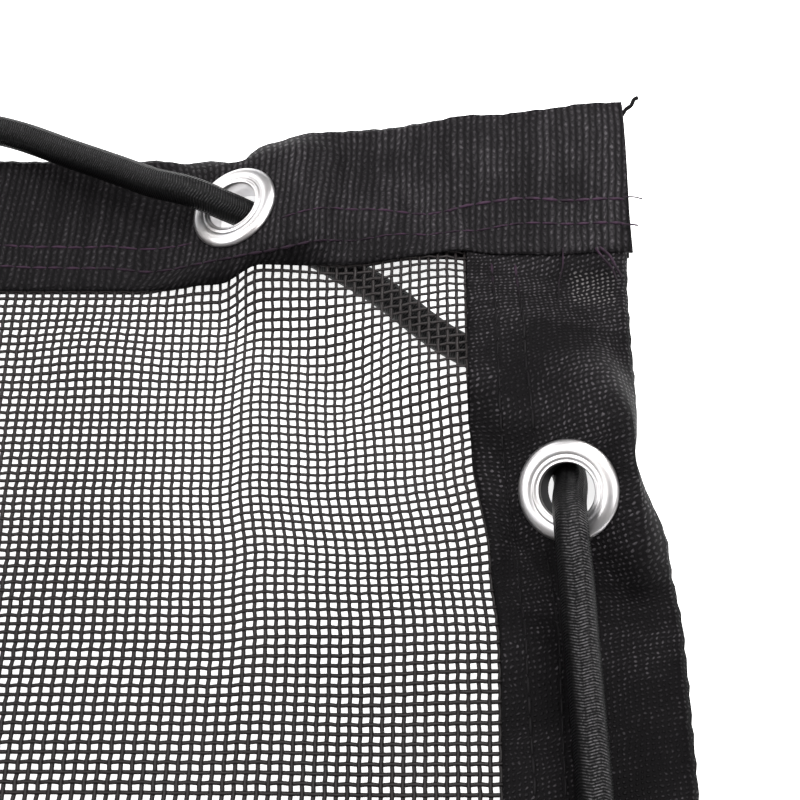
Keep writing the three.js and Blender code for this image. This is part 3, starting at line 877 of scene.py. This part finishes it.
def woven_finish(name, rib_pitch, float_pitch, float_size, body, glow, shear, wander, wear_and_highlight):
    """Plain tape on a map in metres: columns of floats between ribs.

    Body is how pale the columns are and glow how pale their floats are. The tape is painted paler
    towards the net's upper right as painted light, and darker away from it as painted shade.
    """
    finish, wire, shader = new_finish(name)
    place = wire.node("UVMap", {"uv_map": "weave"})
    run = part_of(place, "X")
    across = part_of(place, "Y")
    bow = noise(place, 30, 1) - 0.5
    sway = noise(place, 160, 3) - 0.5
    streak_place = wire.node("CombineXYZ", (), {0: run, 1: across * 0.12})
    streak = noise(streak_place, 380, 2)
    grain = noise(place, 3200, 2)
    jitter = noise(place, 800, 1, out="Color")
    jitter_run = (part_of(jitter, "X") - 0.5) * wear_and_highlight
    jitter_across = (part_of(jitter, "Y") - 0.5) * wear_and_highlight
    patch = noise(place, 75, 3)
    rib = (run + across * shear + bow * wander) * (1 / rib_pitch) + sway * 0.8 + jitter_run * 0.8
    beside = (rib.fraction() - 0.5) * 2
    lean = beside * (streak - 0.5) * 0.9
    pick = across * (1 / float_pitch) + streak * 2.2 + sway * 0.8 + lean + jitter_across * 0.8
    above = (pick.fraction() - 0.5) * 2
    width, length = float_size
    spread = beside * beside * (1 / width ** 2) + above * above * (1 / length ** 2)
    column = 1 - abs(beside).smooth(0.3, 0.95)
    yarn = 1 - spread.smooth(0.1, 1.0)
    glint = noise(place, 1100, 1).smooth(0.42, 0.66)
    solid = wire.node("TexCoord", out="Object")
    to_right = part_of(solid, "X")
    to_top = part_of(solid, "Y")
    # Painted light and shade: the tape is paler towards the upper right and darker away from it.
    painted_light_share = (to_right * 0.55 + to_top * 0.83).smooth(0.13, 0.24)
    wear = 1 - wear_and_highlight * (1 - patch.smooth(0.35, 0.62))
    pale = 0.05 + column * body + yarn * (0.2 + glint) * glow
    share = pale * (0.5 + grain) * wear * (0.45 + 0.55 * streak.smooth(0.3, 0.7))
    dark = (0.0028, 0.0024, 0.0028, 1)
    light = (0.062, 0.057, 0.062, 1)
    tape = blend_colors(wire, share * (0.3 + 0.7 * painted_light_share), dark, light)
    loose = yarn * within(to_right, *loose_x) * within(to_top, *loose_y)
    paler_tone = (0.16, 0.15, 0.15, 1)
    drive(shader, "Base Color", blend_colors(wire, loose * 0.7, tape, paler_tone))
    drive(shader, "Roughness", 0.75 - yarn * 0.2)
    shader.inputs["Specular IOR Level"].default_value = 0.08
    add_relief(wire, shader, yarn, 0.00022)
    return finish


woven_long = woven_finish(
    "woven_tape_long", rib_pitch=0.00124, float_pitch=0.00128, float_size=(0.62, 0.9),
    body=0.36, glow=0.8, shear=0.05, wander=0.001, wear_and_highlight=0.5,
)
woven_short = woven_finish(
    "woven_tape_short", rib_pitch=0.00082, float_pitch=0.00092, float_size=(0.72, 0.68),
    body=0.12, glow=2.3, shear=0.22, wander=0.006, wear_and_highlight=0.85,
)


def fold_tape(places):
    """Folds a strip in half: from (along, across, 0) to (along, inset, height)."""
    run, across, _ = places.T
    arc = layer_height * math.pi / 2
    angle = np.clip(across / layer_height, -math.pi / 2, math.pi / 2)
    straight = np.maximum(abs(across) - arc, 0)
    inset = layer_height * (1 - np.cos(angle)) + straight
    return np.stack([run, inset, layer_height * np.sin(angle)], axis=1)


def strip(name, half_run, run_cells, cross_cells):
    """A flat strip of tape with its weave's map in metres."""
    grid = bmesh.new()
    bmesh.ops.create_grid(grid, x_segments=run_cells, y_segments=cross_cells, size=1)
    bmesh.ops.scale(grid, vec=(half_run, tape_half_width, 1), verts=grid.verts[:])
    weave = grid.loops.layers.uv.new("weave")
    for face in grid.faces:
        for corner in face.loops:
            corner[weave].uv = corner.vert.co.xy
    mesh = bpy.data.meshes.new(name)
    grid.to_mesh(mesh)
    return mesh


def cut_holes(mesh, to_net):
    """Takes away the faces round each eyelet's hole, under its flange."""
    cut = bmesh.new()
    cut.from_mesh(mesh)
    places = np.array([vert.co for vert in cut.verts])
    flat = to_net(places)
    near = np.zeros(len(flat), bool)
    for eyelet in eyelets.values():
        near |= np.hypot(flat[:, 0] - eyelet["flat"][0], flat[:, 1] - eyelet["flat"][1]) < hole_reach
    gone = [face for face in cut.faces if any(near[vert.index] for vert in face.verts)]
    bmesh.ops.delete(cut, geom=gone, context="FACES")
    cut.to_mesh(mesh)


def long_lap(u):
    """How far the long bindings spread over the ends of the short ones."""
    return lap_height * ramp(abs(u), inner_length - lap_ramp, inner_length)


def gather(u):
    """How much narrower the long bindings are drawn where the short ones end below them."""
    return gather_depth * (ramp(abs(u), *gather_start) - ramp(abs(u), *gather_end))


def add_binding(name, side, is_long):
    """One strip of tape, folded over its edge of the net."""
    half_run = half_length + long_overhang if is_long else short_reach
    mesh = strip("binding_woven_" + name, half_run, round(half_run / tape_cell), tape_cells_across)

    def to_net(places):
        """From the flat strip to the flat net."""
        run, inset, height = fold_tape(places).T
        bump = edge_bump * np.sin(run * edge_bump_turns)
        inset = inset + bump * (1 - ramp(inset, *edge_bump_fade))
        if is_long:
            run = run - end_slant * ramp(run, slant_start, half_run) * (1 - inset / binding_width)
            inset = inset - gather(run) * inset / binding_width
            spread = np.sign(height) * long_lap(run)
            return np.stack([run, side * (half_width - inset), height + spread], axis=1)
        return np.stack([side * (half_length - inset), run, height], axis=1)

    cut_holes(mesh, to_net)
    drape_mesh(mesh, to_net)
    mesh.shade_smooth()
    mesh.materials.append(woven_long if is_long else woven_short)
    piece = bpy.data.objects.new("binding_woven_" + name, mesh)
    bpy.context.collection.objects.link(piece)
    walls = piece.modifiers.new("thickness", "SOLIDIFY")
    walls.thickness = tape_thickness
    walls.offset = 0
    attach(piece, "root")
    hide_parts("binding_" + name)
    return piece


# Each edge's name, the side of the net that it is on, and whether it is a long one.
net_edges = (("top", 1, True), ("bottom", -1, True), ("right", 1, False), ("left", -1, False))
bindings = [add_binding(*edge) for edge in net_edges]


# ---- stitches ----
# Two rows of lock stitch in purple-black thread hold each binding on, from front and back.

stitch_pitch = 0.0031
stitch_half = 0.00162
stitch_dip = 0.00012
stitch_rise = 0.00005
thread_radius = 0.00025
stitch_rows = (0.0202, 0.0254)
row_wander = 0.0004
row_wobble = 0.0002
row_pull = 0.001
row_pull_rise = (0.19, 0.21)
flange_radius = 0.0087
flange_room = 0.0016


def thread_finish():
    """Twisted thread, purple at the top and painted nearly black on the side bindings as painted
    shade.
    """
    finish, wire, shader = new_finish("purple_thread")
    place = wire.node("TexCoord", out="Object")
    to_top = part_of(place, "Y")
    # Painted shade: the thread is painted nearly black below the top binding.
    painted_light_share = to_top.smooth(0.110, 0.124)
    fibre = noise(place, 500, 3)
    dark = (0.0024, 0.0020, 0.0024, 1)
    light = (0.042, 0.020, 0.040, 1)
    share = (0.3 + 0.7 * fibre.smooth(0.35, 0.65)) * (0.02 + 0.98 * painted_light_share)
    drive(shader, "Base Color", blend_colors(wire, share, dark, light))
    shader.inputs["Roughness"].default_value = 0.6
    shader.inputs["Specular IOR Level"].default_value = 0.15
    return finish


thread = thread_finish()


def add_stitches(name, side, is_long):
    """The two rows on one binding, front and back, except under the eyelets' flanges."""
    half_run = half_length if is_long else inner_width
    count = int(2 * half_run / stitch_pitch)
    one = bmesh.new()
    bmesh.ops.create_uvsphere(one, u_segments=6, v_segments=4, radius=1)
    bmesh.ops.rotate(one, matrix=Matrix.Rotation(math.radians(90), 3, "Y"), verts=one.verts[:])
    bmesh.ops.scale(one, vec=(stitch_half, thread_radius, thread_radius), verts=one.verts[:])
    for vert in one.verts:
        vert.co.z -= stitch_dip * (vert.co.x / stitch_half) ** 2
    start = -count * stitch_pitch / 2 + stitch_half
    height = layer_height + tape_thickness / 2 + stitch_rise
    bmesh.ops.translate(one, vec=(start, 0, height), verts=one.verts[:])
    mesh = bpy.data.meshes.new("stitches_" + name)
    one.to_mesh(mesh)
    piece = bpy.data.objects.new("stitches_" + name, mesh)
    bpy.context.collection.objects.link(piece)
    repeat(piece, (stitch_pitch, 0, 0), count, False)
    repeat(piece, (0, stitch_rows[1] - stitch_rows[0], 0), 2, False)
    piece = finish_mesh(piece, "stitches_" + name)

    def to_net(places):
        """From the straight rows to the flat net."""
        run, row, height = places.T
        inset = stitch_rows[0] + row + row_wander * np.sin(run * 61 + row * 900)
        inset = inset + row_wobble * np.sin(run * 173)
        if is_long:
            inset = inset - gather(run) - row_pull * ramp(abs(run), *row_pull_rise)
            return np.stack([run, side * (half_width - inset), height + long_lap(run)], axis=1)
        return np.stack([side * (half_length - inset), run, height], axis=1)

    whole = bmesh.new()
    whole.from_mesh(piece.data)
    front = whole.verts[:] + whole.edges[:] + whole.faces[:]
    copied = bmesh.ops.duplicate(whole, geom=front)["geom"]
    back = [item for item in copied if isinstance(item, bmesh.types.BMVert)]
    flat = to_net(np.array([vert.co for vert in whole.verts]))
    for vert, place in zip(whole.verts, flat):
        vert.co = place
    bmesh.ops.scale(whole, vec=(1, 1, -1), verts=back)
    behind = set(back)
    turned_over = [face for face in whole.faces if face.verts[0] in behind]
    bmesh.ops.reverse_faces(whole, faces=turned_over)
    clear = flange_radius + flange_room
    gone = set()
    for eyelet in eyelets.values():
        middle = Vector(eyelet["flat"])
        gone.update(vert for vert in whole.verts if (vert.co.xy - middle).length < clear)
    bmesh.ops.delete(whole, geom=list(gone), context="VERTS")
    whole.to_mesh(piece.data)
    drape_mesh(piece.data)
    piece.data.shade_smooth()
    piece.data.materials.append(thread)
    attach(piece, "root")


for edge in net_edges:
    add_stitches(*edge)


# ---- thread ends ----
# Cut ends of the sewing thread and of the tape's own yarn stick out at the upper right corner.

end_step = 0.0004
end_sides = 8
thread_ends = {
    "tape_end": (0.0004, woven_long, [
        (0.2240, 0.1475, 0.0118), (0.2250, 0.1487, 0.0128), (0.2259, 0.1491, 0.0134),
        (0.2265, 0.1502, 0.0139), (0.2272, 0.1505, 0.0140)]),
    "row_end_outer": (0.00013, thread, [
        (0.2235, 0.1306, 0.0096), (0.2254, 0.1307, 0.0095), (0.2272, 0.1307, 0.0089)]),
    "row_end_inner": (0.00016, thread, [
        (0.2232, 0.1258, 0.0077), (0.2254, 0.1259, 0.0074), (0.2263, 0.1261, 0.0069)]),
    "seam_tail_side": (0.00024, thread, [
        (0.2179, 0.1203, 0.0080), (0.2192, 0.1184, 0.0075), (0.2207, 0.1166, 0.0070),
        (0.2216, 0.1143, 0.0063)]),
    "seam_tail": (0.00026, thread, [
        (0.2186, 0.1205, 0.0080), (0.2204, 0.1189, 0.0076), (0.2214, 0.1168, 0.0072),
        (0.2225, 0.1149, 0.0066)]),
    "loose_end": (0.00014, thread, [
        (0.2121, 0.1212, 0.0066), (0.2120, 0.1180, 0.0056), (0.2112, 0.1149, 0.0050),
        (0.2110, 0.1120, 0.0049), (0.2103, 0.1087, 0.0049)]),
}
for name, (radius, finish, places) in thread_ends.items():
    line = smooth_line([Vector(place) for place in places], end_step)
    end = finish_mesh(curve_through(name + "_line", line, radius, end_sides), name)
    end.data.shade_smooth()
    end.data.materials.clear()
    end.data.materials.append(finish)
    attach(end, "root")


# ---- eyelets ----
# Ten two-part eyelets of nickel-plated brass. A flanged barrel goes through the binding from the
# front, and its end is rolled over a washer behind it.

seat_height = 0.00105
ring_steps = 72
bore_reach = 0.00495
bore_top = 0.0009
barrel_limit = 0.0053
barrel_squeeze = 0.0002
barrel_taper = 0.09


def nickel_finish():
    """Bright plating with faint scuffs."""
    finish, wire, shader = new_finish("bright_nickel")
    place = wire.node("TexCoord", out="Object")
    scuff = noise(place, 700, 4)
    cloud = noise(place, 160, 2)
    warm = (0.74, 0.71, 0.70, 1)
    cool = (0.80, 0.79, 0.81, 1)
    drive(shader, "Base Color", blend_colors(wire, cloud.smooth(0.3, 0.7), warm, cool))
    shader.inputs["Metallic"].default_value = 1
    drive(shader, "Roughness", 0.3 + scuff * 0.1)
    add_relief(wire, shader, scuff, 0.000008)
    return finish


def bore_shade_finish():
    """Painted shade on the plating, for the inside of the upper right side eyelet."""
    finish, wire, shader = new_finish("nickel_painted_shade")
    place = wire.node("TexCoord", out="Object")
    cloud = noise(place, 500, 2)
    # Painted shade: the bore is painted nearly black.
    deep_shade = (0.012, 0.012, 0.013, 1)
    paler_tone = (0.03, 0.028, 0.03, 1)
    drive(shader, "Base Color", blend_colors(wire, cloud.smooth(0.3, 0.7), deep_shade, paler_tone))
    shader.inputs["Metallic"].default_value = 0.3
    shader.inputs["Roughness"].default_value = 0.6
    shader.inputs["Specular IOR Level"].default_value = 0.1
    return finish


nickel = nickel_finish()
nickel_painted_shade = bore_shade_finish()

# Radius and height round each part, from an end of its wall.
front_profile = [
    (0.00550, -0.0034), (0.00488, -0.0034), (0.00486, 0.0004), (0.00488, 0.00088),
    (0.00498, 0.00112), (0.00512, 0.00120), (0.00528, 0.00110), (0.00540, 0.00120),
    (0.00562, 0.00130), (0.00590, 0.00124), (0.00602, 0.00108), (0.00618, 0.00118),
    (0.00680, 0.00126), (0.00750, 0.00115), (0.00810, 0.00090), (0.00845, 0.00056),
    (0.00860, 0.00022), (0.00856, 0.00004), (0.00830, 0.0), (0.00585, 0.0), (0.00550, -0.0002),
]
back_profile = [
    (0.00556, 0.0), (0.00840, 0.0), (0.00860, -0.00015), (0.00850, -0.00040),
    (0.00780, -0.00055), (0.00700, -0.00062), (0.00660, -0.00085), (0.00620, -0.0011),
    (0.00570, -0.0012), (0.00556, -0.0009),
]


def drawn_in(radius, height):
    """The radius at a height, with the barrel a little narrower towards its lower end."""
    if radius < barrel_limit:
        return radius - barrel_squeeze - max(-height, 0) * barrel_taper
    return radius


narrow_profile = [(drawn_in(radius, height), height) for radius, height in front_profile]


def turned(name, profile, lift_up, eyelet, bore_finish):
    """A ring spun from its profile about the eyelet's axis."""
    ring = bmesh.new()
    corners = [ring.verts.new((radius, 0, height + lift_up)) for radius, height in profile]
    for a, b in zip(corners, corners[1:] + corners[:1]):
        ring.edges.new((a, b))
    bmesh.ops.spin(
        ring, geom=ring.verts[:] + ring.edges[:], cent=(0, 0, 0), axis=(0, 0, 1),
        angle=2 * math.pi, steps=ring_steps, use_merge=True,
    )
    bmesh.ops.recalc_face_normals(ring, faces=ring.faces[:])
    for face in ring.faces:
        middle = face.calc_center_median()
        is_bore = math.hypot(middle.x, middle.y) < bore_reach and middle.z < bore_top
        face.material_index = 1 if is_bore else 0
    mesh = bpy.data.meshes.new(name)
    ring.to_mesh(mesh)
    place = Matrix.Translation(eyelet["middle"]) @ eyelet["turn"].to_matrix().to_4x4()
    mesh.transform(place)
    mesh.shade_smooth()
    mesh.materials.append(nickel)
    mesh.materials.append(bore_finish)
    piece = bpy.data.objects.new(name, mesh)
    bpy.context.collection.objects.link(piece)
    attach(piece, "root")
    return piece


for name, eyelet in eyelets.items():
    # The upper right side eyelet's bore is painted dark, as painted shade.
    has_shaded_bore = name == "right_upper"
    bore_finish = nickel_painted_shade if has_shaded_bore else nickel
    profile = narrow_profile if has_shaded_bore else front_profile
    flanged = turned("eyelet_turned_" + name, profile, seat_height, eyelet, bore_finish)
    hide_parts("eyelet_" + name)
    washer = turned("washer_turned_" + name, back_profile, -seat_height, eyelet, nickel)
    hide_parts("washer_" + name)
